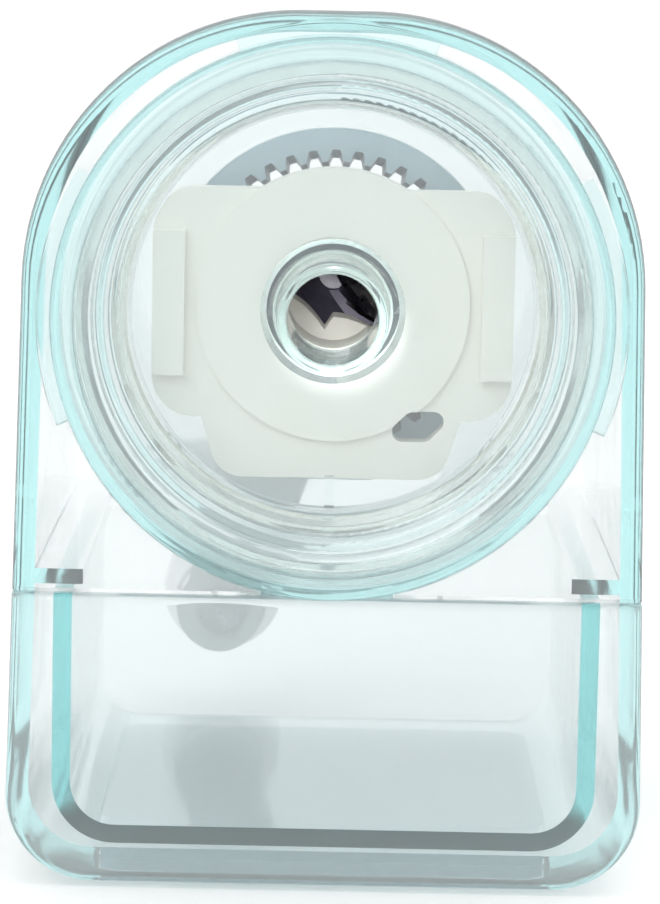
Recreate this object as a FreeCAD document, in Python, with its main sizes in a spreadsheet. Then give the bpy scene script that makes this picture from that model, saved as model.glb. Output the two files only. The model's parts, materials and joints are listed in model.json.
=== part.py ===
"""Crank pencil sharpener: a clear arch-shaped casing with a round front, a cutter carrier turned
by a rear crank, and a drawer for the shavings.

X is the width, -Y the front, +Y the crank side and +Z up. The origin is the centre of the resting
face. Every piece is an object of the document, bound to the "size" sheet."""
import FreeCAD, Part
import math
import os
import re
import Sketcher

Vector = FreeCAD.Vector

# Driving dimensions, in millimetres, degrees and counts.
SIZES = {
    # how features join and cut: a joined feature starts inside the other by join_lap, a cut
    # runs past the face it leaves by overrun, and turned ends lose edge_break
    "join_lap": 0.5,
    "overrun": 1.0,
    "edge_break": 0.2,
    # casing
    "body_width": 58.6,
    "top_width": 55.2,
    "body_height": 80.5,
    "body_depth": 62.0,
    "shoulder_radius": 25.0,
    "foot_radius": 8.0,
    "foot_gap": 0.5,
    "front_round": 1.2,
    "rear_round": 3.5,
    "shell_wall": 2.0,
    "rear_wall": 2.5,
    "floor_top": 3.3,
    "axis_height": 52.8,
    "boss_radius": 8.0,
    "boss_length": 3.5,
    # front ring and its lugs
    "bezel_radius": 25.5,
    "bezel_face": 2.2,
    "bezel_wall": 0.85,
    "lug_rise": 1.1,
    "bezel_proud": 1.2,
    "bezel_length": 6.7,
    "bezel_round": 0.9,
    "lip_round": 0.45,
    "seat_depth": 1.4,
    "lug_proud": 0.6,
    "top_lug_angle": 40.0,
    "side_lug_angle": 52.0,
    "side_lug_place": 86.0,
    "tab_width": 12.0,
    "tab_proud": 0.4,
    "snap_clear": 0.15,
    # clear front cover
    "flange_thick": 1.5,
    "step_rise": 1.9,
    "step_tread": 1.2,
    "step_slope": 0.35,
    "dish_wall": 1.4,
    "dish_depth": 8.0,
    "dish_floor_inset": 2.0,
    "lip_front": 0.2,
    "step_front": 0.5,
    "step_round": 0.35,
    "dish_floor_wall": 1.5,
    "key_width": 0.9,
    "key_length": 2.8,
    "nozzle_wall": 0.95,
    "nozzle_foot": 1.6,
    "guide_wall": 1.45,
    "nozzle_front": 0.6,
    "guide_end": 13.5,
    "pencil_bore": 8.3,
    "pencil_clear": 0.15,
    # barrel round the mechanism
    "barrel_wall": 1.6,
    "barrel_flange_width": 3.6,
    "barrel_flange_thick": 1.5,
    "barrel_front": 6.8,
    "barrel_rear_gap": 0.3,
    "spigot_length": 2.0,
    "window_half_width": 11.0,
    "window_front": 25.0,
    "window_margin": 4.2,
    "seat_clear": 0.1,
    "shelf_clear": 0.2,
    # cutter set: the cutter leans on the pencil's cone
    "cutter_tilt": 11.0,
    "cutter_radius": 4.5,
    "cone_depth": 24.0,
    "cutter_lap": 0.57,
    "cutter_gap": 0.2,
    "cutter_teeth": 18.0,
    "cutter_twist": 70.0,
    "flute_depth": 0.75,
    "flute_root": 0.3,
    "pin_radius": 1.2,
    "pin_inset": 0.3,
    "pin_clear": 0.05,
    "washer_thick": 0.4,
    "washer_radius": 3.0,
    "axial_clear": 0.15,
    # bevel gear pair
    "pinion_teeth": 12.0,
    "pinion_lead": 0.72,
    "pinion_trail": 0.39,
    "ring_teeth": 40.0,
    "tooth_rise": 0.72,
    "tooth_drop": 0.95,
    "gear_backlash": 0.16,
    "pressure_angle": 20.0,
    "ring_front": 19.8,
    "ring_width": 3.4,
    "ring_radius": 16.2,
    "ring_lug_rise": 1.0,
    "ring_lug_gap": 0.6,
    "ring_lug_width": 3.4,
    # carrier
    "plate_width": 33.8,
    "plate_height": 21.6,
    "plate_corner": 4.0,
    "plate_front": 14.2,
    "plate_thick": 2.6,
    "plate_rib_width": 3.0,
    "plate_rib_rise": 1.0,
    "plate_disc_radius": 12.8,
    "skirt_half_width": 15.5,
    "skirt_end_half": 10.5,
    "skirt_bottom": 16.4,
    "skirt_corner": 3.0,
    "slot_left": 4.4,
    "slot_right": 12.0,
    "slot_top": 9.9,
    "slot_bottom": 12.8,
    "plate_disc_rise": 0.5,
    "funnel_flare": 1.95,
    "rest_wall": 0.9,
    "rest_tip_radius": 0.5,
    "rest_roof": 0.9,
    "rest_right_top": -3.0,
    "rest_roof_right": -0.5,
    "rest_low_x": -0.8,
    "rest_low_z": -3.8,
    "peg_radius": 1.2,
    "peg_length": 1.6,
    "peg_place": 9.6,
    "cage_front": 16.9,
    "cage_flange_radius": 12.3,
    "cage_flange_end": 19.2,
    "cage_radius": 11.4,
    "cage_straight": 10.0,
    "cage_rear_land": 3.0,
    "cage_edge": 0.5,
    "cage_rear_radius": 9.4,
    "cage_tail": 4.62,
    "hub_radius": 5.2,
    "throat_clear": 0.3,
    "pocket_clear": 0.6,
    "relief_depth": 7.4,
    "relief_height": 12.0,
    "relief_front": 2.0,
    "relief_rear": 4.0,
    "socket_clear": 0.03,
    "press_clear": 0.02,
    # spindle, bearing and crank
    "spindle_radius": 3.0,
    "spindle_square": 4.2,
    "socket_depth": 4.9,
    "thrust_thick": 0.7,
    "thrust_radius": 4.8,
    "bush_radius": 4.6,
    "bush_flange_radius": 6.0,
    "bush_flange_thick": 0.8,
    "bearing_clear": 0.04,
    "crank_gap": 0.4,
    "seat_flat_half": 1.6,
    "crank_length": 40.0,
    "crank_rest_angle": 16.8,
    "crank_hub_radius": 6.2,
    "crank_end_radius": 4.6,
    "arm_thick": 3.6,
    "arm_hub_inset": 0.7,
    "arm_end_inset": 0.5,
    "arm_round": 0.6,
    "crank_hub_length": 6.0,
    "knob_boss_rise": 1.0,
    "arm_recess": 1.0,
    "arm_rim": 1.4,
    "recess_margin": 1.6,
    "recess_corner": 1.0,
    "screw_radius": 1.0,
    "screw_head_radius": 2.6,
    "screw_head_rise": 1.6,
    "screw_length": 7.0,
    "screw_washer_thick": 0.5,
    "screw_washer_lap": 0.3,
    "screw_point": 0.6,
    "screw_head_edge": 0.6,
    "screw_slot_width": 0.6,
    "screw_slot_length": 3.0,
    "screw_slot_depth": 0.7,
    # knob
    "axle_radius": 1.7,
    "axle_head_radius": 2.6,
    "axle_head_thick": 1.0,
    "axle_rivet_thick": 0.45,
    "knob_length": 20.0,
    "knob_radius": 6.5,
    "knob_neck_radius": 5.2,
    "knob_neck_length": 2.5,
    "knob_swell_length": 6.0,
    "knob_end_round": 1.8,
    "knob_cap_depth": 3.0,
    "knob_cap_radius": 4.2,
    "knob_cap_thick": 1.4,
    "knob_cap_dome": 0.35,
    # drawer
    "panel_top": 27.3,
    "panel_thick": 2.2,
    "panel_clear": 0.3,
    "panel_round": 0.8,
    "bin_half_width": 25.0,
    "bin_wall": 1.7,
    "bin_rear_wall": 1.5,
    "bin_bottom": 3.8,
    "bin_corner": 5.8,
    "bin_rear_gap": 7.5,
    "rail_inner": 22.3,
    "rail_thick": 1.4,
    "rail_gap": 0.4,
    # pad
    "pad_width": 43.0,
    "pad_length": 41.0,
    "pad_front": 11.0,
    "pad_thick": 1.8,
    "pad_corner": 3.0,
    "pad_clear": 0.2,
}

# Lengths that follow from the driving dimensions, each written once.
DERIVED = {
    "half_width": "body_width / 2",
    "top_half_width": "top_width / 2",
    "cavity_rear": "body_depth - rear_wall",
    "sill": "panel_top + panel_clear",
    "lean": "(body_width - top_width) / 2 / (body_height - foot_gap)",
    "panel_half_width": "half_width - lean * (panel_top - foot_gap)",
    "opening_radius": "bezel_radius + snap_clear",
    "bezel_lip_radius": "bezel_radius - bezel_face",
    "flange_radius": "bezel_radius - bezel_wall - snap_clear",
    "lug_radius": "bezel_radius + lug_rise",
    "tilt": "cutter_tilt * 1 deg",
    "bore_radius": "pencil_bore / 2",
    "nozzle_radius": "bore_radius + nozzle_wall",
    "nozzle_foot_radius": "nozzle_radius + nozzle_foot",
    "guide_radius": "bore_radius + guide_wall",
    "throat_radius": "bore_radius + throat_clear",
    "plate_end": "plate_front + plate_thick",
    "rest_end": "cone_depth + (throat_radius - rest_tip_radius) / tan(tilt)",
    "rest_socket_radius": "throat_radius + rest_wall + seat_clear",
    "funnel_radius": "throat_radius + funnel_flare",
    "pencil_radius": "bore_radius - pencil_clear",
    "tip_depth": "cone_depth + pencil_radius / tan(tilt)",
    "apex_depth": "tip_depth + cutter_radius / sin(tilt)",
    "cutter_front": "pinion_rear - cutter_gap",
    "cutter_rear": "(apex_depth - tip_depth + cutter_lap) / cos(tilt)",
    "pinion_front": "(apex_depth - ring_front + pinion_lead) / cos(tilt)",
    "pinion_rear": "(apex_depth - ring_end + pinion_trail) / cos(tilt)",
    "cage_rear": "tip_depth + cage_tail",
    "pocket_half": "cutter_radius + pocket_clear",
    "pocket_front": "pinion_front + washer_thick + 2 * axial_clear",
    "pocket_rear": "cutter_rear - washer_thick - 2 * axial_clear",
    "pin_front": "(apex_depth - cage_front - pin_inset) / cos(tilt) - pin_radius * tan(tilt)",
    "pin_rear": "(apex_depth - cage_rear + 2 * pin_inset) / cos(tilt)",
    "lip_radius": "bezel_lip_radius - snap_clear",
    "step_1": "lip_radius - step_tread",
    "step_2": "step_1 - step_tread",
    "step_3": "step_2 - step_tread",
    "barrel_flange_radius": "flange_radius - shelf_clear",
    "barrel_inner_radius": "barrel_flange_radius - barrel_flange_width",
    "dish_floor_radius": "barrel_inner_radius - dish_floor_inset",
    "barrel_outer_radius": "barrel_inner_radius + barrel_wall",
    "barrel_end": "cavity_rear - barrel_rear_gap",
    "window_rear": "barrel_end - window_margin",
    "ring_end": "ring_front + ring_width",
    "shelf_radius": "ring_radius + seat_clear",
    "ring_lug_radius": "ring_radius + ring_lug_rise",
    "boss_front": "cavity_rear - boss_length",
    "hub_end": "boss_front - thrust_thick - 2 * axial_clear",
    "bush_hole_radius": "bush_radius + seat_clear / 2",
    "bush_flange_end": "body_depth + bush_flange_thick",
    "crank_seat": "bush_flange_end + crank_gap",
    "spindle_end": "crank_seat + crank_hub_length - screw_washer_thick",
    "crank_end": "crank_seat + crank_hub_length",
    "arm_end": "crank_seat + arm_thick",
    "knob_front": "arm_end + knob_boss_rise + crank_gap",
    "knob_end": "knob_front + knob_length",
    "knob_floor": "cap_seat - 2 * axle_head_thick",
    "cap_seat": "knob_end - knob_cap_depth",
    "knob_x": "-crank_length * sin(crank_rest_angle * 1 deg)",
    "knob_z": "axis_height - crank_length * cos(crank_rest_angle * 1 deg)",
    "rail_bottom": "sill + rail_gap",
    "bin_end": "cavity_rear - bin_rear_gap",
}

WORD = re.compile(r"[a-z_][a-z_0-9]*")

doc = FreeCAD.newDocument("crank_pencil_sharpener")
sheet = doc.addObject("Spreadsheet::Sheet", "size")
for row, (alias, amount) in enumerate(SIZES.items(), 1):
    sheet.set(f"A{row}", alias.replace("_", " "))
    sheet.set(f"B{row}", str(amount))
    sheet.setAlias(f"B{row}", alias)
doc.recompute()


def bound(expression):
    """The expression with each size named by its cell and each derived length written out."""
    def place(match):
        word = match.group(0)
        if word in SIZES:
            return "size." + word
        if word in DERIVED:
            return "(" + bound(DERIVED[word]) + ")"
        return word
    return WORD.sub(place, str(expression))


def number(expression):
    return float(sheet.evalExpression(bound(expression)))


def bind(item, path, expression):
    item.setExpression(path, bound(expression))


# ---- sketches and features ----------------------------------------------------------------

def place(item, x, y, z, axis=None, angle=0):
    """Puts an item at x, y, z, turned about an axis. All four are expressions."""
    turn = FreeCAD.Rotation(axis, number(angle)) if axis else FreeCAD.Rotation()
    item.Placement = FreeCAD.Placement(Vector(number(x), number(y), number(z)), turn)
    for letter, expression in zip("xyz", (x, y, z)):
        bind(item, f"Placement.Base.{letter}", expression)
    if axis:
        bind(item, "Placement.Rotation.Angle", f"({angle}) * 1 deg")


def new_body(label, z="0"):
    """A body whose local y is the depth behind the casing's front face."""
    body = doc.addObject("PartDesign::Body", label)
    body.Label = label
    place(body, "0", "-body_depth / 2", z)
    return body


def cutter_body(label):
    """A body on the cutter's axis: local y is minus the distance in front of the cone apex."""
    body = doc.addObject("PartDesign::Body", label)
    body.Label = label
    place(body, "0", "apex_depth - body_depth / 2", "axis_height", Vector(0, 0, 1), "cutter_tilt")
    return body


def crank_body(label):
    """A body turned with the crank about the pencil axis, local y being the depth."""
    body = doc.addObject("PartDesign::Body", label)
    body.Label = label
    place(body, "0", "-body_depth / 2", "axis_height", Vector(0, 1, 0), "crank_rest_angle")
    return body


def knob_body(label):
    """A body on the knob's axis, local y being the depth."""
    body = doc.addObject("PartDesign::Body", label)
    body.Label = label
    place(body, "knob_x", "-body_depth / 2", "knob_z")
    return body


def new_sketch(body, name, role, offset="0"):
    sketch = body.newObject("Sketcher::SketchObject", name)
    plane = next(item for item in body.Origin.OriginFeatures if item.Role == role)
    sketch.AttachmentSupport = [(plane, "")]
    sketch.MapMode = "FlatFace"
    bind(sketch, "AttachmentOffset.Base.z", offset)
    return sketch


def pin_point(sketch, target, x, y):
    """Ties a point of the sketch to expressions for its two coordinates."""
    for kind, expression in (("DistanceX", x), ("DistanceY", y)):
        index = sketch.addConstraint(Sketcher.Constraint(kind, -1, 1, *target, number(expression)))
        bind(sketch, f"Constraints[{index}]", expression)


def draw_circle(sketch, x, y, radius):
    centre = Vector(number(x), number(y), 0)
    circle = sketch.addGeometry(Part.Circle(centre, Vector(0, 0, 1), number(radius)), False)
    pin_point(sketch, (circle, 3), x, y)
    index = sketch.addConstraint(Sketcher.Constraint("Radius", circle, number(radius)))
    bind(sketch, f"Constraints[{index}]", radius)


def corner_arc(before, point, after, radius):
    """Where a corner's arc starts and ends, and its centre."""
    back = (before - point).normalize()
    ahead = (after - point).normalize()
    half = back.getAngle(ahead) / 2
    reach = radius / math.tan(half)
    middle = (back + ahead).normalize()
    return point + back * reach, point + ahead * reach, point + middle * (radius / math.sin(half))


def draw_outline(sketch, corners):
    """A closed outline. Each corner is (x, y) or (x, y, radius), all of them expressions."""
    count = len(corners)
    points = [Vector(number(corner[0]), number(corner[1]), 0) for corner in corners]
    ends = []
    for index, corner in enumerate(corners):
        if len(corner) == 3:
            ends.append(corner_arc(points[index - 1], points[index],
                                   points[(index + 1) % count], number(corner[2])))
        else:
            ends.append((points[index], points[index], None))
    lines = [sketch.addGeometry(Part.LineSegment(ends[index][1], ends[(index + 1) % count][0]), False)
             for index in range(count)]
    for index, corner in enumerate(corners):
        before = lines[index - 1]
        after = lines[index]
        if len(corner) == 2:
            sketch.addConstraint(Sketcher.Constraint("Coincident", before, 2, after, 1))
            pin_point(sketch, (after, 1), corner[0], corner[1])
            continue
        mark = sketch.addGeometry(Part.Point(points[index]), True)
        sketch.addConstraint(Sketcher.Constraint("PointOnObject", mark, 1, before))
        sketch.addConstraint(Sketcher.Constraint("PointOnObject", mark, 1, after))
        pin_point(sketch, (mark, 1), corner[0], corner[1])
        start, end, centre = ends[index]
        first = math.atan2(start.y - centre.y, start.x - centre.x)
        last = math.atan2(end.y - centre.y, end.x - centre.x)
        circle = Part.Circle(centre, Vector(0, 0, 1), number(corner[2]))
        forward = (start - centre).cross(end - centre).z > 0
        limits = (first, last) if forward else (last, first)
        arc = sketch.addGeometry(Part.ArcOfCircle(circle, *limits), False)
        near, far = (1, 2) if forward else (2, 1)
        sketch.addConstraint(Sketcher.Constraint("Tangent", before, 2, arc, near))
        sketch.addConstraint(Sketcher.Constraint("Tangent", arc, far, after, 1))
        bend = sketch.addConstraint(Sketcher.Constraint("Radius", arc, number(corner[2])))
        bind(sketch, f"Constraints[{bend}]", corner[2])


def draw(sketch, shapes):
    """Draws each shape: ("circle", x, y, radius), or a list of corners."""
    for shape in shapes:
        if shape[0] == "circle":
            draw_circle(sketch, *shape[1:])
        else:
            draw_outline(sketch, shape)


def volume_so_far(body):
    return body.Tip.Shape.Volume if body.Tip else 0.0


def finish_feature(body, feature, before, grows):
    """Recomputes, and refuses a feature that did not grow or shrink the body as it should."""
    body.Tip = feature
    doc.recompute()
    change = feature.Shape.Volume - before
    if change == 0 or (change > 0) != grows:
        raise RuntimeError(f"{body.Label}: {feature.Name} changed the volume by {change:.3f}")
    return feature


def extrude(body, name, kind, view, start, length, *shapes):
    """Pads or pockets shapes. In view "front" they lie at depth start and run rearwards, in
    view "plan" they lie at height start and run upwards."""
    before = volume_so_far(body)
    role, offset = ("XZ_Plane", f"-({start})") if view == "front" else ("XY_Plane", start)
    sketch = new_sketch(body, name + "_sketch", role, offset)
    draw(sketch, shapes)
    feature = body.newObject("PartDesign::" + kind, name)
    feature.Profile = sketch
    bind(feature, "Length", length)
    feature.Reversed = (view == "front") == (kind == "Pad")
    return finish_feature(body, feature, before, kind == "Pad")


def revolve(body, name, kind, corners):
    """Turns a profile of (radius, depth) corners about the body's Y axis."""
    before = volume_so_far(body)
    sketch = new_sketch(body, name + "_sketch", "XY_Plane")
    draw_outline(sketch, corners)
    feature = body.newObject("PartDesign::" + kind, name)
    feature.Profile = sketch
    axis = next(item for item in body.Origin.OriginFeatures if item.Role == "Y_Axis")
    feature.ReferenceAxis = (axis, [""])
    feature.Angle = 360
    return finish_feature(body, feature, before, kind == "Revolution")


def round_edges(body, name, base, radius, wanted):
    """Rounds the base feature's edges that the test picks."""
    before = volume_so_far(body)
    names = [f"Edge{index}" for index, edge in enumerate(base.Shape.Edges, 1) if wanted(edge)]
    feature = body.newObject("PartDesign::Fillet", name)
    feature.Base = (base, names)
    bind(feature, "Radius", radius)
    return finish_feature(body, feature, before, False)


def lies_at_depth(depth):
    def test(edge):
        box = edge.BoundBox
        return abs(box.YMin - depth) < 0.01 and abs(box.YMax - depth) < 0.01
    return test


def box_corners(x0, x1, y0, y1):
    return [(x0, y0), (x1, y0), (x1, y1), (x0, y1)]


def turned(label, corners, frame=None):
    body = frame(label) if frame else new_body(label, "axis_height")
    revolve(body, label + "_turned", "Revolution", corners)
    return body


# ---- casing -------------------------------------------------------------------------------

def arch(inset, bottom, radius_cut):
    """The casing's outline seen from the front, moved in by inset."""
    low = f"half_width - {inset}"
    high = f"top_half_width - {inset}"
    foot = f"foot_radius - {radius_cut}"
    shoulder = f"shoulder_radius - {radius_cut}"
    top = f"body_height - {inset}"
    return [(f"-({low})", bottom, foot), (low, bottom, foot),
            (high, top, shoulder), (f"-({high})", top, shoulder)]


def lug_sectors(prefix, radius, front, length):
    """Pie-shaped blocks at the places of the front ring's three lugs."""
    sectors = []
    places = (("top", "0", "top_lug_angle"), ("right", "side_lug_place", "side_lug_angle"),
              ("left", "-side_lug_place", "side_lug_angle"))
    for side, centre, span in places:
        sector = doc.addObject("Part::Cylinder", f"{prefix}_{side}")
        bind(sector, "Radius", radius)
        bind(sector, "Height", length)
        bind(sector, "Angle", span)
        upright = FreeCAD.Rotation(Vector(1, 0, 0), -90)
        start = number(f"{centre} - 90 - {span} / 2")
        turn = FreeCAD.Rotation(Vector(0, 1, 0), start).multiply(upright)
        sector.Placement = FreeCAD.Placement(Vector(), turn)
        bind(sector, "Placement.Base.y", f"{front} - body_depth / 2")
        bind(sector, "Placement.Base.z", "axis_height")
        sectors.append(sector)
    return sectors


def combine(kind, label, **links):
    item = doc.addObject(kind, label)
    item.Label = label
    for name, value in links.items():
        setattr(item, name, value)
    return item


def make_shell():
    body = new_body("shell_moulding")
    block = extrude(body, "block", "Pad", "front", "0", "body_depth", arch("0", "foot_gap", "0"))
    rear = round_edges(body, "rear_rounding", block, "rear_round", lies_at_depth(number("body_depth")))
    round_edges(body, "front_rounding", rear, "front_round", lies_at_depth(0))
    extrude(body, "cavity", "Pocket", "front", "shell_wall", "cavity_rear - shell_wall",
            arch("shell_wall", "floor_top", "shell_wall"))
    through = "shell_wall + overrun"
    extrude(body, "front_opening", "Pocket", "front", "0", through,
            ("circle", "0", "axis_height", "opening_radius"))
    tab = "tab_width / 2 + snap_clear"
    extrude(body, "tab_notch", "Pocket", "front", "0", through,
            box_corners(f"-({tab})", tab, "sill - overrun", "axis_height - bezel_radius + overrun"))
    extrude(body, "drawer_front_bay", "Pocket", "front", "0", "panel_thick + panel_clear",
            box_corners("-body_width", "body_width", "-overrun", "sill"))
    for side, sign in (("left", "-"), ("right", "")):
        extrude(body, f"rail_{side}", "Pad", "front", "shell_wall / 2", "cavity_rear",
                box_corners(f"{sign}(half_width - shell_wall / 2)", f"{sign}rail_inner",
                            "rail_bottom", "rail_bottom + rail_thick"))
    extrude(body, "bearing_boss", "Pad", "front", "boss_front", "boss_length + join_lap",
            ("circle", "0", "axis_height", "boss_radius"))
    spigot = "barrel_inner_radius - seat_clear"
    extrude(body, "barrel_spigot", "Pad", "front", "cavity_rear - spigot_length",
            "spigot_length + join_lap", ("circle", "0", "axis_height", spigot),
            ("circle", "0", "axis_height", f"{spigot} - barrel_wall"))
    extrude(body, "bush_hole", "Pocket", "front", "boss_front - overrun",
            "boss_length + rear_wall + 2 * overrun", ("circle", "0", "axis_height", "bush_hole_radius"))
    side = "pad_width / 2 + pad_clear"
    front = "pad_front - pad_clear"
    back = "pad_front + pad_length + pad_clear"
    corner = "pad_corner + pad_clear"
    extrude(body, "pad_recess", "Pocket", "plan", "foot_gap", "pad_thick - foot_gap",
            [(f"-({side})", front, corner), (side, front, corner),
             (side, back, corner), (f"-({side})", back, corner)])
    notches = lug_sectors("lug_notch", "lug_radius + snap_clear", "-overrun", "shell_wall + 2 * overrun")
    cutter = combine("Part::MultiFuse", "lug_notches", Shapes=notches)
    return combine("Part::Cut", "body_shell", Base=body, Tool=cutter)


def make_bezel():
    """The clear ring round the front: a lip in front, a stepped seat behind it, and lugs."""
    inner = "flange_radius + snap_clear"
    ring = turned("bezel_ring", [
        ("bezel_lip_radius", "-bezel_proud", "lip_round"), ("bezel_radius", "-bezel_proud", "bezel_round"),
        ("bezel_radius", "bezel_length"), (inner, "bezel_length"), (inner, "seat_depth"),
        ("bezel_lip_radius", "seat_depth")])
    outer = combine("Part::MultiFuse", "lug_blocks",
                    Shapes=lug_sectors("lug", "lug_radius", "-lug_proud", "lug_proud + shell_wall"))
    core = doc.addObject("Part::Cylinder", "lug_core")
    bind(core, "Radius", "bezel_radius - join_lap")
    bind(core, "Height", "shell_wall + 4 * overrun")
    place(core, "0", "-body_depth / 2 - 2 * overrun", "axis_height", Vector(1, 0, 0), "-90")
    lugs = combine("Part::Cut", "lug_arcs", Base=outer, Tool=core)
    tab = doc.addObject("Part::Box", "drawer_side_tab")
    bind(tab, "Length", "tab_width")
    bind(tab, "Width", "bezel_length - tab_proud")
    bind(tab, "Height", f"axis_height - ({inner}) - sill")
    place(tab, "-tab_width / 2", "-body_depth / 2 - tab_proud", "sill")
    return combine("Part::MultiFuse", "front_bezel", Shapes=[ring, lugs, tab])


def step_corners(index, back):
    """The two rounded corners of one ring step: the riser's deep one, then the tread's."""
    run = f"step_{index} - step_slope"
    return [(f"{run} + {back}", f"step_front + {index} * step_rise + {back}"),
            (f"step_{index} + {back}", f"step_front + {index - 1} * step_rise + {back}")]


def make_dish():
    """The clear front cover: steps down to a recessed floor, with the pencil nozzle standing
    in the middle and a guide tube behind it."""
    floor_back = "dish_depth + dish_floor_wall"
    seat_front = "seat_depth + seat_clear"
    seat_back = f"{seat_front} + flange_thick"
    outline = [("bore_radius", "nozzle_front", "step_round"),
               ("nozzle_radius", "nozzle_front", "step_round"),
               ("nozzle_radius", "dish_depth - nozzle_foot", "nozzle_foot"),
               ("nozzle_foot_radius", "dish_depth"),
               ("dish_floor_radius", "dish_depth", "step_round")]
    for index in (3, 2, 1):
        deep, shallow = step_corners(index, "0")
        outline += [(*deep, "step_round"), (*shallow, "step_round")]
    outline += [("lip_radius", "lip_front"), ("lip_radius", seat_front), ("flange_radius", seat_front),
                ("flange_radius", seat_back), ("lip_radius + edge_break", seat_back)]
    for index in (1, 2):
        outline += step_corners(index, "dish_wall")[:1]
    outline += [("barrel_inner_radius - pad_clear", "barrel_front - edge_break"),
                ("dish_floor_radius + dish_wall", floor_back), ("guide_radius + nozzle_wall", floor_back),
                ("guide_radius", f"{floor_back} + nozzle_wall"), ("guide_radius", "guide_end"),
                ("bore_radius", "guide_end")]
    body = turned("front_dish", outline)
    extrude(body, "key_pip", "Pad", "front", "dish_depth + dish_floor_wall / 2", "key_length",
            box_corners("-key_width / 2", "key_width / 2", "-dish_floor_radius + edge_break",
                        "-dish_floor_radius + edge_break + key_length"))
    return body


def make_barrel():
    shelf_front = "ring_front - shelf_clear"
    shelf_end = "ring_end + shelf_clear"
    flange_end = "barrel_front + barrel_flange_thick"
    body = turned("inner_barrel", [
        ("barrel_inner_radius", "barrel_front"), ("barrel_flange_radius", "barrel_front", "step_round"),
        ("barrel_flange_radius", flange_end, "step_round"),
        ("barrel_outer_radius", flange_end, "step_round"), ("barrel_outer_radius", "barrel_end"),
        ("barrel_inner_radius", "barrel_end"),
        ("barrel_inner_radius", shelf_end), ("shelf_radius", shelf_end),
        ("shelf_radius", shelf_front), ("barrel_inner_radius", shelf_front)])
    extrude(body, "shavings_window", "Pocket", "plan", "-barrel_outer_radius - overrun",
            "barrel_outer_radius", box_corners("-window_half_width", "window_half_width",
                                               "window_front", "window_rear"))
    deep = "-(ring_lug_radius + seat_clear)"
    shallow = "-ring_radius + ring_lug_rise"
    near = "ring_lug_gap - seat_clear"
    far = "ring_lug_gap + ring_lug_width + seat_clear"
    extrude(body, "lug_slots", "Pocket", "front", f"{shelf_front} - seat_clear",
            "ring_width + 2 * shelf_clear + 2 * seat_clear",
            box_corners(near, far, deep, shallow),
            box_corners(f"-({far})", f"-({near})", deep, shallow))
    return body


def make_pad():
    body = new_body("anti_slip_pad")
    side = "pad_width / 2"
    back = "pad_front + pad_length"
    extrude(body, "pad_block", "Pad", "plan", "0", "pad_thick - press_clear",
            [(f"-{side}", "pad_front", "pad_corner"), (side, "pad_front", "pad_corner"),
             (side, back, "pad_corner"), (f"-{side}", back, "pad_corner")])
    return body


def make_bush():
    hole = "spindle_radius + bearing_clear"
    return turned("rear_bush", [
        (hole, "boss_front"), ("bush_radius", "boss_front"), ("bush_radius", "body_depth"),
        ("bush_flange_radius", "body_depth"), ("bush_flange_radius", "bush_flange_end"),
        (hole, "bush_flange_end")])


# ---- gears and cutter ---------------------------------------------------------------------

def involute(angle):
    return math.tan(angle) - angle


def gear_outline(teeth, pitch_radius, inner, outer, thinning, scale, height):
    """A closed wire round straight-faced involute teeth, scaled and raised to a height."""
    pressure = math.radians(number("pressure_angle"))
    base = pitch_radius * math.cos(pressure)
    steps = 4
    flank = []
    for index in range(steps + 1):
        radius = inner + (outer - inner) * index / steps
        slope = math.acos(base / radius) if radius > base else 0.0
        half = math.pi / (2 * teeth) + involute(pressure) - involute(slope)
        flank.append((radius, half - thinning / (2 * pitch_radius)))
    points = []
    for tooth in range(teeth):
        middle = 2 * math.pi * tooth / teeth
        sides = [(radius, middle - half) for radius, half in flank]
        sides += [(radius, middle + half) for radius, half in reversed(flank)]
        points += [Vector(radius * scale * math.cos(angle), radius * scale * math.sin(angle), height)
                   for radius, angle in sides]
    return Part.makePolygon(points + points[:1])


def bevel_angles():
    """Half angles of the pinion's and the ring's pitch cones, whose axes meet at the apex."""
    tilt = math.radians(number("cutter_tilt"))
    ratio = number("ring_teeth") / number("pinion_teeth")
    pinion = math.atan(math.sin(tilt) / (ratio - math.cos(tilt)))
    return pinion, pinion + tilt


def apex_placement(tilt):
    """The frame at the cone apex whose Z runs forwards along an axis leaning out by tilt."""
    origin = Vector(0, number("apex_depth - body_depth / 2"), number("axis_height"))
    forward = FreeCAD.Rotation(Vector(1, 0, 0), 90)
    return FreeCAD.Placement(origin, FreeCAD.Rotation(Vector(0, 0, 1), tilt).multiply(forward))


def coded(label, shape, placement):
    item = doc.addObject("Part::Feature", label)
    item.Label = label
    item.Shape = shape
    item.Placement = placement
    return item


def make_pinion():
    front, rear = number("pinion_front"), number("pinion_rear")
    radius = front * math.tan(bevel_angles()[0])
    teeth = int(number("pinion_teeth"))
    module = 2 * radius / teeth
    inner = radius - number("tooth_drop") * module
    outer = radius + number("tooth_rise") * module
    wires = [gear_outline(teeth, radius, inner, outer, number("gear_backlash"), scale, front * scale)
             for scale in (rear / front, 1.0)]
    hole = Part.makeCylinder(number("pin_radius + pin_clear"), front - rear + 2, Vector(0, 0, rear - 1))
    return coded("cutter_pinion", Part.makeLoft(wires, True, True).cut(hole),
                 apex_placement(number("cutter_tilt")))


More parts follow.
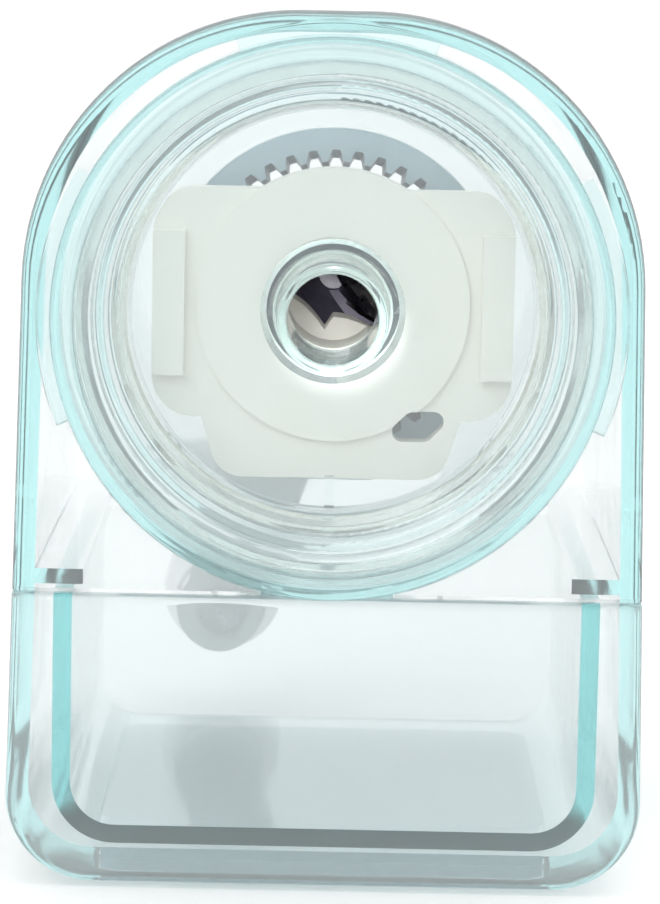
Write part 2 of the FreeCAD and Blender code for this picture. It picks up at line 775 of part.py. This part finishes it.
def make_ring_gear():
    front = number("apex_depth - ring_front")
    rear = number("apex_depth - ring_end")
    radius = front * math.tan(bevel_angles()[1])
    teeth = int(number("ring_teeth"))
    module = 2 * radius / teeth
    inner = radius - number("tooth_rise") * module
    outer = radius + number("tooth_drop") * module
    reach = number("join_lap")
    wires = [gear_outline(teeth, radius, inner, outer, -number("gear_backlash"),
                          height / front, height)
             for height in (rear - reach, front + reach)]
    blank = Part.makeCylinder(number("ring_radius"), front - rear, Vector(0, 0, rear))
    lug_deep = number("ring_lug_rise + overrun")
    lug_wide = number("ring_lug_width")
    for start in (number("ring_lug_gap"), -number("ring_lug_gap") - lug_wide):
        corner = Vector(start, -number("ring_lug_radius"), rear)
        blank = blank.fuse(Part.makeBox(lug_wide, lug_deep, front - rear, corner))
    return coded("ring_gear", blank.cut(Part.makeLoft(wires, True, True)), apex_placement(0))


def make_cutter():
    """The steel cutter: sharp-edged flutes wound round a bored cylinder."""
    front, rear = number("cutter_front"), number("cutter_rear")
    radius = number("cutter_radius")
    floor = radius - number("flute_depth")
    teeth = int(number("cutter_teeth"))
    levels = 8
    sections = []
    for level in range(levels + 1):
        turn = math.radians(number("cutter_twist")) * level / levels
        height = rear + (front - rear) * level / levels
        points = []
        for tooth in range(teeth):
            edge = turn + 2 * math.pi * tooth / teeth
            points.append(Vector(radius * math.cos(edge), radius * math.sin(edge), height))
            root = edge + number("flute_root") * 2 * math.pi / teeth
            points.append(Vector(floor * math.cos(root), floor * math.sin(root), height))
        sections.append(Part.makePolygon(points + points[:1]))
    blank = Part.makeLoft(sections, True, True)
    hole = Part.makeCylinder(number("pin_radius + pin_clear"), front - rear + 2, Vector(0, 0, rear - 1))
    return coded("helical_cutter", blank.cut(hole), apex_placement(number("cutter_tilt")))


def make_cutter_pin():
    end = "pin_radius - edge_break"
    return turned("cutter_pin", [
        ("0", "-pin_front"), (end, "-pin_front"), ("pin_radius", "-pin_front + edge_break"),
        ("pin_radius", "-pin_rear - edge_break"), (end, "-pin_rear"), ("0", "-pin_rear")], cutter_body)


def make_cutter_washers():
    body = cutter_body("cutter_washers")
    washers = (("front", "-pocket_front + axial_clear"),
               ("rear", "-pocket_rear - axial_clear - washer_thick"))
    for name, start in washers:
        extrude(body, f"washer_{name}", "Pad", "front", start, "washer_thick",
                ("circle", "0", "0", "washer_radius"), ("circle", "0", "0", "pin_radius + pin_clear"))
    return body


# ---- carrier ------------------------------------------------------------------------------

def on_cutter_axis(station, side):
    """Plan position of a point at a station on the cutter's axis, moved outwards by side."""
    return (f"({station}) * sin(tilt) + ({side}) * cos(tilt)",
            f"apex_depth - ({station}) * cos(tilt) + ({side}) * sin(tilt)")


def make_cage():
    """The dark carrier: it holds the cutter's pin at both ends and the spindle's square."""
    moulding = turned("cage_moulding", [
        ("0", "cage_front"), ("cage_flange_radius", "cage_front"),
        ("cage_flange_radius", "cage_flange_end", "cage_edge"),
        ("cage_radius", "cage_flange_end"), ("cage_radius", "cage_front + cage_straight"),
        ("cage_rear_radius", "cage_rear - cage_rear_land"),
        ("cage_rear_radius", "cage_rear", "cage_edge"), ("hub_radius", "cage_rear"),
        ("hub_radius", "hub_end"), ("0", "hub_end")])
    bottom = "rest_end + seat_clear"
    revolve(moulding, "rest_socket", "Groove", [
        ("0", "cage_front - overrun"), ("rest_socket_radius", "cage_front - overrun"),
        ("rest_socket_radius", "cone_depth"),
        (f"rest_socket_radius - ({bottom} - cone_depth) * tan(tilt)", bottom), ("0", bottom)])
    half = "pocket_half"
    out = "cage_flange_radius"
    extrude(moulding, "cutter_pocket", "Pocket", "plan", f"-{half}", f"2 * {half}",
            [on_cutter_axis("pocket_front", f"-{half}"), on_cutter_axis("pocket_front", out),
             on_cutter_axis("pocket_rear", out), on_cutter_axis("pocket_rear", f"-{half}")])
    extrude(moulding, "side_relief", "Pocket", "plan", "-relief_height / 2", "relief_height",
            box_corners("-cage_flange_radius - overrun", "-relief_depth",
                        "cage_flange_end + relief_front", "cage_rear - relief_rear"))
    peg_hole = "peg_radius + press_clear"
    extrude(moulding, "peg_holes", "Pocket", "front", "cage_front - overrun",
            "peg_length + seat_clear + overrun", ("circle", "0", "peg_place", peg_hole),
            ("circle", "0", "-peg_place", peg_hole))
    pin_hole = turned("cage_pin_hole", box_corners("0", "pin_radius + press_clear",
                                                   "-pin_front - pin_clear", "-pin_rear + pin_clear"),
                      cutter_body)
    square = "spindle_square / 2 + socket_clear"
    socket = crank_body("spindle_socket")
    extrude(socket, "socket", "Pad", "front", "hub_end - socket_depth", "socket_depth + overrun",
            box_corners(f"-({square})", square, f"-({square})", square))
    holes = combine("Part::MultiFuse", "cage_holes", Shapes=[pin_hole, socket])
    return combine("Part::Cut", "carrier_cage", Base=moulding, Tool=holes)


def make_front_plate():
    """The plate in front of the cage: middle disc, side ribs, lower skirt with a slot, funnel,
    and behind it the half cone that the pencil's point rests on beside the cutter."""
    body = new_body("carrier_front_plate", "axis_height")
    side = "plate_width / 2"
    tall = "plate_height / 2"
    corner = "plate_corner"
    extrude(body, "plate", "Pad", "front", "plate_front", "plate_thick",
            [(f"-{side}", f"-{tall}", corner), (side, f"-{tall}", corner),
             (side, tall, corner), (f"-{side}", tall, corner)])
    extrude(body, "skirt", "Pad", "front", "plate_front", "plate_thick",
            [("-skirt_half_width", "0"), ("-skirt_end_half", "-skirt_bottom", "skirt_corner"),
             ("skirt_end_half", "-skirt_bottom", "skirt_corner"), ("skirt_half_width", "0")])
    disc_front = "plate_front - plate_disc_rise"
    extrude(body, "middle_disc", "Pad", "front", disc_front, "plate_thick + plate_disc_rise",
            ("circle", "0", "0", "plate_disc_radius"))
    inner = f"{side} - plate_rib_width"
    reach = f"{tall} - plate_corner"
    for name, sign in (("left", "-"), ("right", "")):
        extrude(body, f"rib_{name}", "Pad", "front", "plate_front - plate_rib_rise",
                "plate_rib_rise + join_lap",
                box_corners(f"{sign}({side})", f"{sign}({inner})", f"-({reach})", reach))
    slot_tall = "slot_bottom - slot_top"
    extrude(body, "skirt_slot", "Pocket", "front", f"{disc_front} - overrun",
            "plate_thick + plate_disc_rise + 2 * overrun",
            [("slot_left", "-slot_bottom", f"({slot_tall}) / 3"),
             (f"slot_right - ({slot_tall})", "-slot_bottom", f"({slot_tall}) / 3"),
             ("slot_right", "-slot_top", f"({slot_tall}) / 3"),
             (f"slot_left + ({slot_tall})", "-slot_top", f"({slot_tall}) / 3")])
    tip = "rest_end"
    fall = "(rest_end - cone_depth) * tan(tilt)"
    outer = "throat_radius + rest_wall"
    revolve(body, "pencil_rest", "Revolution", [
        ("throat_radius", "plate_end - join_lap"), (outer, "plate_end - join_lap"),
        (outer, "cone_depth"), (f"{outer} - {fall}", tip), ("rest_tip_radius", tip),
        ("throat_radius", "cone_depth")])
    revolve(body, "funnel", "Groove", [
        ("0", f"{disc_front} - overrun"), ("funnel_radius + funnel_flare", f"{disc_front} - overrun"),
        ("funnel_radius", disc_front), ("throat_radius", "plate_end"), ("0", "plate_end")])
    right = "rest_socket_radius + overrun"
    extrude(body, "rest_opening", "Pocket", "front", "plate_end", "rest_end - plate_end + overrun",
            [("rest_low_x + rest_low_z - rest_roof", "rest_roof"), ("rest_low_x", "rest_low_z"),
             ("rest_low_x + rest_right_top - rest_low_z", "rest_right_top"), (right, "rest_right_top"),
             (right, right), ("rest_roof_right", right), ("rest_roof_right", "rest_roof")])
    beside = "-(cutter_radius + pocket_clear / 2)"
    extrude(body, "cutter_side", "Pocket", "plan", "-pocket_half", "2 * pocket_half",
            [on_cutter_axis("pocket_front + seat_clear", beside),
             on_cutter_axis("pocket_front + seat_clear", "cage_flange_radius"),
             on_cutter_axis("pocket_rear - pocket_clear", "cage_flange_radius"),
             on_cutter_axis("pocket_rear - pocket_clear", beside)])
    extrude(body, "pegs", "Pad", "front", "plate_end - join_lap", "peg_length + join_lap",
            ("circle", "0", "peg_place", "peg_radius"), ("circle", "0", "-peg_place", "peg_radius"))
    return body


# ---- spindle and crank --------------------------------------------------------------------

def make_spindle():
    body = turned("drive_spindle", [
        ("0", "hub_end"), ("spindle_radius", "hub_end"), ("spindle_radius", "crank_seat"),
        ("spindle_square / 2", "crank_seat"), ("spindle_square / 2", "spindle_end"),
        ("0", "spindle_end")], crank_body)
    half = "spindle_square / 2"
    extrude(body, "square_end", "Pad", "front", "hub_end - socket_depth + seat_clear",
            "socket_depth - seat_clear + join_lap", box_corners(f"-{half}", half, f"-{half}", half))
    wide = "spindle_radius + overrun"
    extrude(body, "seat_flats", "Pocket", "front", "crank_seat", "crank_hub_length + overrun",
            box_corners(f"-({wide})", wide, "seat_flat_half", wide),
            box_corners(f"-({wide})", wide, f"-({wide})", "-seat_flat_half"))
    extrude(body, "screw_hole", "Pocket", "front", "spindle_end - screw_length",
            "screw_length + overrun", ("circle", "0", "0", "screw_radius + press_clear"))
    return body


def make_thrust_washer():
    start = "hub_end + axial_clear"
    return turned("thrust_washer", box_corners("spindle_radius + seat_clear", "thrust_radius",
                                               start, f"{start} + thrust_thick"))


def make_crank_arm():
    """The moulded arm: hub, tapered bar with a recess, and the boss that holds the knob."""
    body = crank_body("crank_arm")
    extrude(body, "hub", "Pad", "front", "crank_seat", "crank_hub_length",
            ("circle", "0", "0", "crank_hub_radius"))
    extrude(body, "knob_boss", "Pad", "front", "crank_seat", "arm_thick + knob_boss_rise",
            ("circle", "0", "-crank_length", "crank_end_radius"))
    wide = "crank_hub_radius - arm_hub_inset"
    narrow = "crank_end_radius - arm_end_inset"
    bar = extrude(body, "bar", "Pad", "front", "crank_seat", "arm_thick",
                  [(f"-({wide})", "0"), (f"-({narrow})", "-crank_length"),
                   (narrow, "-crank_length"), (wide, "0")])
    round_edges(body, "bar_rounding", bar, "arm_round",
                lambda edge: edge.BoundBox.ZLength > number("crank_length") / 2
                and abs(edge.BoundBox.YMax - number("arm_end")) < 0.01)
    top = "-crank_hub_radius - recess_margin"
    low = "-crank_length + crank_end_radius + recess_margin"
    extrude(body, "bar_recess", "Pocket", "front", "arm_end - arm_recess", "arm_recess + overrun",
            [(f"-({wide} - arm_rim)", top, "recess_corner"),
             (f"-({narrow} - arm_rim)", low, "recess_corner"),
             (f"{narrow} - arm_rim", low, "recess_corner"),
             (f"{wide} - arm_rim", top, "recess_corner")])
    flat = "seat_flat_half + socket_clear"
    half = "spindle_square / 2 + socket_clear"
    extrude(body, "spindle_seat", "Pocket", "front", "crank_seat - overrun",
            "crank_hub_length - screw_washer_thick + overrun",
            box_corners(f"-({half})", half, f"-({flat})", flat))
    extrude(body, "washer_seat", "Pocket", "front", "crank_end - screw_washer_thick",
            "screw_washer_thick + overrun", ("circle", "0", "0", "screw_head_radius + 2 * screw_washer_lap"))
    extrude(body, "axle_hole", "Pocket", "front", "crank_seat - overrun",
            "arm_thick + knob_boss_rise + 2 * overrun",
            ("circle", "0", "-crank_length", "axle_radius + press_clear"))
    return body


def make_crank_fasteners():
    washer = turned("crank_washer", box_corners(
        "screw_radius + seat_clear", "screw_head_radius + screw_washer_lap",
        "crank_end - screw_washer_thick", "crank_end"))
    head = "screw_head_radius"
    start = "spindle_end - screw_length + join_lap"
    top = "crank_end + screw_head_rise"
    screw = turned("crank_screw", [
        ("0", start), ("screw_radius - screw_point", start), ("screw_radius", f"{start} + screw_point"),
        ("screw_radius", "crank_end"), (head, "crank_end"), (head, "crank_end + screw_head_edge"),
        (f"{head} - (screw_head_rise - screw_head_edge)", top), ("0", top)])
    thin = "screw_slot_width / 2"
    long = "screw_slot_length / 2"
    extrude(screw, "cross_slot", "Pocket", "front", f"{top} - screw_slot_depth",
            "screw_slot_depth + overrun",
            [(f"-{thin}", f"-{long}"), (thin, f"-{long}"), (thin, f"-{thin}"), (long, f"-{thin}"),
             (long, thin), (thin, thin), (thin, long), (f"-{thin}", long), (f"-{thin}", thin),
             (f"-{long}", thin), (f"-{long}", f"-{thin}"), (f"-{thin}", f"-{thin}")])
    return washer, screw


def make_knob():
    """The turning knob: waisted at its neck, rounded at its end, with a deep counterbore."""
    bore = "axle_radius + bearing_clear"
    return turned("crank_knob", [
        (bore, "knob_front"), ("knob_neck_radius", "knob_front", "cage_edge"),
        ("knob_neck_radius", "knob_front + knob_neck_length", "knob_swell_length"),
        ("knob_radius", "knob_front + knob_swell_length", "knob_swell_length"),
        ("knob_radius", "knob_end", "knob_end_round"), ("knob_cap_radius", "knob_end"),
        ("knob_cap_radius", "knob_floor"), (bore, "knob_floor")], knob_body)


def make_knob_axle():
    """A riveted pin: its flat head lies in the back of the arm, its front head in the knob."""
    head = "axle_head_radius"
    rivet_end = "crank_seat - pin_clear"
    front_head = "knob_floor + seat_clear"
    return turned("knob_axle", [
        ("0", f"{rivet_end} - axle_rivet_thick"), (head, f"{rivet_end} - axle_rivet_thick"),
        (head, rivet_end), ("axle_radius", rivet_end), ("axle_radius", front_head), (head, front_head),
        (head, f"{front_head} + axle_head_thick", "edge_break"),
        ("0", f"{front_head} + axle_head_thick")], knob_body)


def make_knob_cap():
    edge = "knob_cap_radius - press_clear"
    back = "knob_end - knob_cap_thick"
    return turned("knob_cap", [
        ("0", back), (edge, back), (edge, "knob_end"),
        (f"{edge} - 2 * knob_cap_dome", "knob_end + knob_cap_dome"),
        ("0", "knob_end + knob_cap_dome")], knob_body)


# ---- drawer -------------------------------------------------------------------------------

def make_drawer():
    """The clear bin with its full-width front panel in one moulding."""
    body = new_body("drawer")
    panel = extrude(body, "front_panel", "Pad", "front", "0", "panel_thick",
                    [("-half_width", "foot_gap", "foot_radius"),
                     ("half_width", "foot_gap", "foot_radius"),
                     ("panel_half_width", "panel_top"), ("-panel_half_width", "panel_top")])
    round_edges(body, "panel_rounding", panel, "panel_round", lies_at_depth(0))
    outside = "bin_half_width"
    inside = "bin_half_width - bin_wall"
    inner_corner = "bin_corner - bin_wall"
    above = "panel_top + overrun"
    extrude(body, "bin", "Pad", "front", "panel_thick - join_lap", "bin_end - panel_thick + join_lap",
            [(f"-{outside}", "bin_bottom", "bin_corner"), (outside, "bin_bottom", "bin_corner"),
             (outside, "panel_top"), (f"-{outside}", "panel_top")])
    extrude(body, "bin_inside", "Pocket", "front", "panel_thick",
            "bin_end - bin_rear_wall - panel_thick",
            [(f"-({inside})", "bin_bottom + bin_wall", inner_corner),
             (inside, "bin_bottom + bin_wall", inner_corner), (inside, above), (f"-({inside})", above)])
    return body


# ---- assembly -----------------------------------------------------------------------------

washer, screw = make_crank_fasteners()
pieces = [make_shell(), make_bezel(), make_dish(), make_barrel(), make_ring_gear(), make_bush(),
          make_pad(), make_cage(), make_front_plate(), make_cutter_pin(), make_cutter_washers(),
          make_spindle(), make_thrust_washer(), make_crank_arm(), washer, screw, make_knob_axle(),
          make_cutter(), make_pinion(), make_knob(), make_knob_cap(), make_drawer()]
doc.recompute()

for item in doc.Objects:
    if "Invalid" in item.State or "Error" in item.State:
        raise RuntimeError(f"{item.Label} did not recompute: {item.State}")
for piece in pieces:
    if piece.Shape.isNull() or not piece.Shape.isValid():
        raise RuntimeError(f"{piece.Label} has no valid shape")

os.makedirs("parts", exist_ok=True)
for piece in pieces:
    piece.Shape.exportStep(os.path.join("parts", piece.Label + ".step"))
    print(piece.Label, len(piece.Shape.Solids), round(piece.Shape.Volume, 1))
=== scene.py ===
"""Looks for the crank pencil sharpener: materials, floor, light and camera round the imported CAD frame."""
import json
import math

import bpy
from mathutils import Matrix, Vector


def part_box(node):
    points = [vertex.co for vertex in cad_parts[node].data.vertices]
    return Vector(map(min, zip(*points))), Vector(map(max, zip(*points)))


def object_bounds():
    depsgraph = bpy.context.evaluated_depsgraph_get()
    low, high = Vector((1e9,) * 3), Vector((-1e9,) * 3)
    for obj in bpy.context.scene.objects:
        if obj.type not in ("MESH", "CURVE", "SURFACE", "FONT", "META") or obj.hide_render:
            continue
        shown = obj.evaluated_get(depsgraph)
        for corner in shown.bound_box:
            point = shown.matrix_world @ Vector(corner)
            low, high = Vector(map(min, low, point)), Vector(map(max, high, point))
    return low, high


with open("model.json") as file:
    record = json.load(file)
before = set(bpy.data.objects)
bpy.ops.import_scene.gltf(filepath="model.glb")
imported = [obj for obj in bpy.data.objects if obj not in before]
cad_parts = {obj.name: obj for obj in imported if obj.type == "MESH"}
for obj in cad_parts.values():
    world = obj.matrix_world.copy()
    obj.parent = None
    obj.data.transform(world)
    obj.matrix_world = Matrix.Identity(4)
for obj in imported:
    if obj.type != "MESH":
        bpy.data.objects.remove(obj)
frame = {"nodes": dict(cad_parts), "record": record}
cad_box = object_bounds()
low, high = Vector(cad_box[0]), Vector(cad_box[1])

MM = 0.001


# ---- node helpers -------------------------------------------------------------------------

class Shader:
    """A material being wired up, one node at a time."""

    def __init__(self, name):
        self.material = bpy.data.materials.new(name)
        self.material.use_nodes = True
        self.tree = self.material.node_tree
        self.tree.nodes.clear()
        self.output = self.node("ShaderNodeOutputMaterial")

    def node(self, kind, **settings):
        made = self.tree.nodes.new(kind)
        for key, value in settings.items():
            if key in made.inputs:
                made.inputs[key].default_value = value
            else:
                setattr(made, key, value)
        return made

    def link(self, source, target):
        self.tree.links.new(source, target)

    def noise(self, scale, detail=3.0):
        place = self.node("ShaderNodeTexCoord")
        made = self.node("ShaderNodeTexNoise", Scale=scale, Detail=detail, Roughness=0.55)
        self.link(place.outputs["Object"], made.inputs["Vector"])
        return made.outputs["Fac"]

    def span(self, source, low_in, high_in, low_out, high_out):
        made = self.node("ShaderNodeMapRange")
        for key, value in (("From Min", low_in), ("From Max", high_in),
                           ("To Min", low_out), ("To Max", high_out)):
            made.inputs[key].default_value = value
        self.link(source, made.inputs["Value"])
        return made.outputs["Result"]

    def bump(self, source, strength, distance):
        made = self.node("ShaderNodeBump", Strength=strength, Distance=distance)
        self.link(source, made.inputs["Height"])
        return made.outputs["Normal"]

    def two_tone(self, source, first, second):
        made = self.node("ShaderNodeMix", data_type="RGBA")
        made.inputs[6].default_value = (*first, 1)
        made.inputs[7].default_value = (*second, 1)
        self.link(source, made.inputs[0])
        return made.outputs[2]


def clear_plastic(name, tint, depth_tint, density, bend=1.18, haze=0.1):
    """Glossy clear plastic: faintly milky, and aqua where light runs a long way inside it, as
    along an edge. Lamps shine through it with a slight tint."""
    mat = Shader(name)
    clear = mat.node("ShaderNodeBsdfPrincipled")
    clear.inputs["Base Color"].default_value = (*tint, 1)
    clear.inputs["Transmission Weight"].default_value = 1.0 - haze
    clear.inputs["IOR"].default_value = bend
    clear.inputs["Coat Weight"].default_value = 0.35
    clear.inputs["Coat Roughness"].default_value = 0.06
    mat.link(mat.span(mat.noise(260), 0.3, 0.7, 0.03, 0.09), clear.inputs["Roughness"])
    mat.link(mat.bump(mat.noise(140, 2.0), 0.06, 0.4 * MM), clear.inputs["Normal"])
    through = mat.node("ShaderNodeBsdfTransparent")
    through.inputs["Color"].default_value = (*tint, 1)
    ray = mat.node("ShaderNodeLightPath")
    mix = mat.node("ShaderNodeMixShader")
    mat.link(ray.outputs["Is Shadow Ray"], mix.inputs["Fac"])
    mat.link(clear.outputs["BSDF"], mix.inputs[1])
    mat.link(through.outputs["BSDF"], mix.inputs[2])
    mat.link(mix.outputs["Shader"], mat.output.inputs["Surface"])
    volume = mat.node("ShaderNodeVolumeAbsorption")
    volume.inputs["Color"].default_value = (*depth_tint, 1)
    volume.inputs["Density"].default_value = density
    mat.link(volume.outputs["Volume"], mat.output.inputs["Volume"])
    return mat.material


def moulded(name, colour, second, roughness, grain=900, depth=0.06 * MM):
    """Moulded plastic or rubber in two close tones, with a fine grain."""
    mat = Shader(name)
    body = mat.node("ShaderNodeBsdfPrincipled")
    mat.link(mat.two_tone(mat.span(mat.noise(90, 4), 0.35, 0.65, 0, 1), colour, second),
             body.inputs["Base Color"])
    mat.link(mat.span(mat.noise(300), 0.3, 0.7, roughness - 0.07, roughness + 0.08),
             body.inputs["Roughness"])
    mat.link(mat.bump(mat.noise(grain), 0.25, depth), body.inputs["Normal"])
    mat.link(body.outputs["BSDF"], mat.output.inputs["Surface"])
    return mat.material


def steel(name, colour, second, roughness=0.3):
    """Turned or ground steel in two close tones."""
    mat = Shader(name)
    body = mat.node("ShaderNodeBsdfPrincipled")
    body.inputs["Metallic"].default_value = 1.0
    mat.link(mat.two_tone(mat.noise(400, 4), colour, second),
             body.inputs["Base Color"])
    mat.link(mat.span(mat.noise(700), 0.3, 0.7, roughness - 0.08, roughness + 0.1),
             body.inputs["Roughness"])
    mat.link(mat.bump(mat.noise(1600), 0.2, 0.02 * MM), body.inputs["Normal"])
    mat.link(body.outputs["BSDF"], mat.output.inputs["Surface"])
    return mat.material


# Surface tints of the clear plastics, and the colour that light takes inside them.
AQUA = (0.992, 1.0, 1.0)
CLEAR = (0.996, 0.989, 0.990)
DEEP = (0.20, 0.80, 0.81)
FRONT_BEND = 1.25

materials = {
    "clear_aqua": clear_plastic("clear_aqua_plastic", CLEAR, DEEP, 16),
    "clear_ring": clear_plastic("clear_ring_plastic", AQUA, DEEP, 100, FRONT_BEND),
    "clear_front": clear_plastic("clear_front_plastic", AQUA, DEEP, 28, FRONT_BEND),
    "clear_barrel": clear_plastic("clear_barrel_plastic", AQUA, DEEP, 8),
    "clear_drawer": clear_plastic("clear_drawer_plastic", CLEAR, DEEP, 34),
    # dark_nylon's near-black is partly painted shade: it keeps the pencil throat inside the cutter cage
    # dark, as a deep shaded hole looks.
    "dark_nylon": moulded("dark_nylon", (0.035, 0.03, 0.05), (0.05, 0.045, 0.07), 0.4),
    "blue_nylon": moulded("blue_nylon", (0.40, 0.52, 0.58), (0.44, 0.56, 0.62), 0.4),
    "dark_rubber": moulded("dark_rubber", (0.19, 0.33, 0.38), (0.22, 0.36, 0.41), 0.75, 1400,
                           0.1 * MM),
    "cream_plastic": moulded("cream_plastic", (0.91, 0.89, 0.83), (0.89, 0.87, 0.80), 0.4),
    "grey_plastic": moulded("grey_plastic", (0.77, 0.77, 0.78), (0.72, 0.72, 0.73), 0.35),
    "plain_steel": steel("plain_steel", (0.62, 0.62, 0.63), (0.52, 0.52, 0.54)),
    "hard_steel": steel("hard_steel", (0.22, 0.21, 0.23), (0.14, 0.14, 0.16), 0.28),
}
slot_of = {entry["node"]: entry["material_slot"] for entry in frame["record"]["subparts"]}
for name, node in frame["nodes"].items():
    node.data.materials.clear()
    node.data.materials.append(materials[slot_of[name]])


# ---- floor, light and camera --------------------------------------------------------------

def make_floor():
    """A pale sweep: flat under the object, rising in a wide curve behind it."""
    half, front, back, top, bend = 1.6, -1.4, 0.55, 1.3, 0.35
    outline = [(front, 0.0), (back, 0.0)]
    steps = 16
    for step in range(1, steps + 1):
        angle = math.pi / 2 * step / steps
        outline.append((back + bend * math.sin(angle), bend * (1 - math.cos(angle))))
    outline.append((back + bend, top))
    points = [(side, y, z) for y, z in outline for side in (-half, half)]
    faces = [(i, i + 1, i + 3, i + 2) for i in range(0, len(points) - 2, 2)]
    mesh = bpy.data.meshes.new("floor")
    mesh.from_pydata(points, [], faces)
    for face in mesh.polygons:
        face.use_smooth = True
    floor = bpy.data.objects.new("floor", mesh)
    bpy.context.scene.collection.objects.link(floor)
    mat = Shader("pale_floor")
    body = mat.node("ShaderNodeBsdfPrincipled")
    mat.link(mat.two_tone(mat.noise(3, 2), (0.93, 0.93, 0.93), (0.95, 0.95, 0.95)),
             body.inputs["Base Color"])
    body.inputs["Roughness"].default_value = 0.6
    mat.link(body.outputs["BSDF"], mat.output.inputs["Surface"])
    mesh.materials.append(mat.material)


def area_light(name, place, target, side, power):
    """A square lamp that faces the target."""
    light = bpy.data.lights.new(name, "AREA")
    light.shape = "SQUARE"
    light.size = side
    light.energy = power
    made = bpy.data.objects.new(name, light)
    made.location = place
    made.rotation_euler = (Vector(target) - Vector(place)).to_track_quat("-Z", "Y").to_euler()
    bpy.context.scene.collection.objects.link(made)


def hole_light(place, target, radius, power):
    """A narrow beam into the pencil hole. It also lights a little of the plate round the hole."""
    reach = Vector(target) - Vector(place)
    light = bpy.data.lights.new("hole_light", "SPOT")
    light.energy = power
    light.spot_size = 2 * math.atan(radius / reach.length)
    light.spot_blend = 0.3
    light.shadow_soft_size = 0.004
    made = bpy.data.objects.new("hole_light", light)
    made.location = place
    made.rotation_euler = reach.to_track_quat("-Z", "Y").to_euler()
    bpy.context.scene.collection.objects.link(made)


def make_world(strength):
    world = bpy.data.worlds.new("studio")
    world.use_nodes = True
    back = world.node_tree.nodes["Background"]
    back.inputs["Color"].default_value = (1, 1, 1, 1)
    back.inputs["Strength"].default_value = strength
    bpy.context.scene.world = world


def make_camera():
    """Looks at the front from a little above, close enough for the depth of the bin to show."""
    distance, height, aim_height = 330 * MM, 88.5 * MM, 40.9 * MM
    roll = math.radians(1.2)
    ring_proud = 1.2 * MM
    front = low.y + ring_proud
    place = Vector((0, front - distance, height))
    target = Vector((0, front, aim_height))
    camera = bpy.data.cameras.new("camera")
    camera.sensor_width = 36
    camera.lens = 147
    made = bpy.data.objects.new("camera", camera)
    turn = (target - place).to_track_quat("-Z", "Y")
    aimed = Matrix.Translation(place) @ turn.to_matrix().to_4x4()
    made.matrix_world = aimed @ Matrix.Rotation(roll, 4, "Z")
    bpy.context.scene.collection.objects.link(made)
    bpy.context.scene.camera = made


# Nested clear shells need many bounces before light gets through all of their walls.
scene = bpy.context.scene
scene.view_settings.view_transform = "Standard"
scene.cycles.max_bounces = 40
scene.cycles.transmission_bounces = 40
scene.cycles.transparent_max_bounces = 64
make_floor()
make_world(1.15)
middle = (low + high) / 2
area_light("key", (-0.35, -0.5, 0.6), middle, 0.5, 1.3)
area_light("top", (0.1, 0.1, 0.8), middle, 0.6, 0.9)
plate_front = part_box("carrier_front_plate")[0][1]
barrel_low, barrel_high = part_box("inner_barrel")
axis_height = (barrel_low[2] + barrel_high[2]) / 2
spot = Vector((0.6 * MM, plate_front, axis_height - 1.8 * MM))
hole_light(spot + Vector((0, -0.33, 0.036)), spot, 3.4 * MM, 15)
make_camera()
